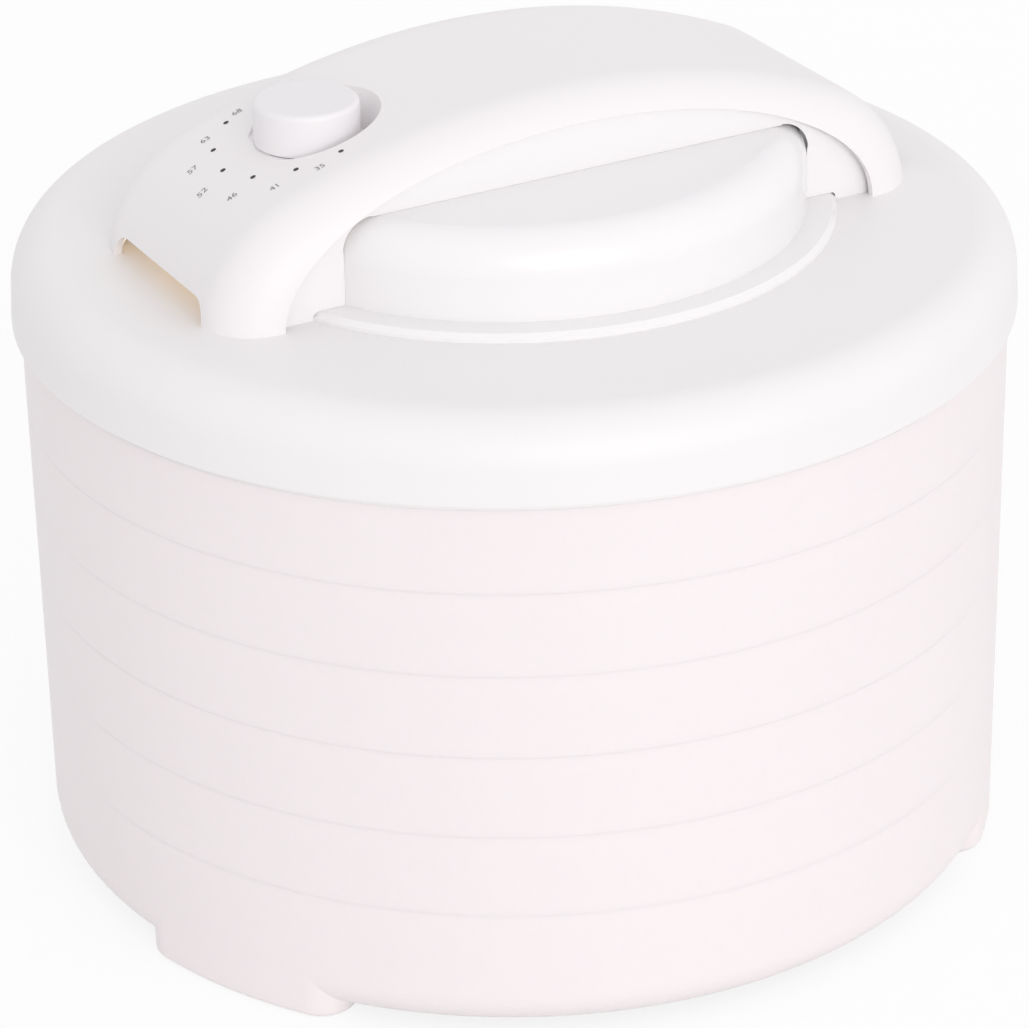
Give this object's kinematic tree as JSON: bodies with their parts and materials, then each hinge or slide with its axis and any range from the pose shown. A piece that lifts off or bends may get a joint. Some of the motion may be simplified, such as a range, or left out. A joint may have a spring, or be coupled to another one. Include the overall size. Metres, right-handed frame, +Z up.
{
  "type": "food dehydrator",
  "caption": "Round white stacking food dehydrator: footed base, slatted drying trays and a lift-off lid with a motor dome under an arched bridge with a temperature knob.",
  "frame": {"origin": "on the stack's axis at table level, under the middle of the round body", "axes": "+Z up along the stack's axis, X along the bridge with the knob at its -X end, +Y to the back"},
  "size_m": [0.34, 0.34, 0.2795],
  "materials": {
    "ring_plastic": "satin, faintly translucent warm white moulding",
    "grid_plastic": "satin warm white moulding",
    "lid_plastic": "satin cool white moulding",
    "dome_plastic": "polished white moulding",
    "bridge_plastic": "satin white moulding",
    "knob_plastic": "satin white moulding",
    "grey_plastic": "moulded grey",
    "gland_rubber": "soft white rubber",
    "steel": "zinc plated",
    "lamination": "stamped laminations",
    "copper": "enamelled winding",
    "bronze": "sintered bush",
    "mica": "pressed mica card",
    "shield": "bright rolled sheet"
  },
  "bodies": {
    "base": {"base_pan": "ring_plastic"},
    "tray_5": {"tray_ring_5": "ring_plastic", "tray_grid_5": "grid_plastic"},
    "tray_4": {"tray_ring_4": "ring_plastic", "tray_grid_4": "grid_plastic"},
    "tray_3": {"tray_ring_3": "ring_plastic", "tray_grid_3": "grid_plastic"},
    "tray_2": {"tray_ring_2": "ring_plastic", "tray_grid_2": "grid_plastic"},
    "tray_1": {"tray_ring_1": "ring_plastic", "tray_grid_1": "grid_plastic"},
    "power_head": {"lid_cover": "lid_plastic", "lid_inner_plate": "lid_plastic", "motor_dome": "dome_plastic", "bridge_shell": "bridge_plastic", "bridge_front_panel": "dome_plastic", "bridge_rear_panel": "dome_plastic", "cord_gland": "gland_rubber", "thermostat_body": "grey_plastic", "thermostat_nut": "steel", "terminal_block": "grey_plastic", "motor_strap": "steel", "motor_stack": "lamination", "motor_coil": "copper", "motor_upper_bracket": "steel", "motor_lower_bracket": "steel", "motor_upper_bearing": "bronze", "motor_lower_bearing": "bronze", "heater_element": "steel", "heater_supports": "mica", "heat_shield": "shield", "thermal_cutout": "steel", "fan_guard": "lid_plastic", "plate_screws": "steel", "bridge_screws": "steel", "strap_screws": "steel", "guard_screws": "steel", "motor_screws": "steel"},
    "knob": {"control_knob": "knob_plastic", "thermostat_spindle": "steel"},
    "fan": {"fan_impeller": "grey_plastic", "motor_rotor": "lamination", "motor_shaft": "steel", "fan_nut": "steel"}
  },
  "joints": [
    {"name": "tray_5_lift", "type": "slide", "parent": "base", "child": "tray_5", "axis": [0, 0, 1], "range_m": [0, 0.06]},
    {"name": "tray_4_lift", "type": "slide", "parent": "tray_5", "child": "tray_4", "axis": [0, 0, 1], "range_m": [0, 0.06]},
    {"name": "tray_3_lift", "type": "slide", "parent": "tray_4", "child": "tray_3", "axis": [0, 0, 1], "range_m": [0, 0.06]},
    {"name": "tray_2_lift", "type": "slide", "parent": "tray_3", "child": "tray_2", "axis": [0, 0, 1], "range_m": [0, 0.06]},
    {"name": "tray_1_lift", "type": "slide", "parent": "tray_2", "child": "tray_1", "axis": [0, 0, 1], "range_m": [0, 0.06]},
    {"name": "power_head_lift", "type": "slide", "parent": "tray_1", "child": "power_head", "axis": [0, 0, 1], "range_m": [0, 0.12]},
    {"name": "knob_turn", "type": "hinge", "parent": "power_head", "child": "knob", "pos_m": [-0.075, 0, 0.27], "axis": [0, 0, -1], "range_deg": [0, 180]},
    {"name": "fan_spin", "type": "hinge", "parent": "power_head", "child": "fan", "pos_m": [0, 0, 0.214], "axis": [0, 0, 1], "continuous": true}
  ]
}
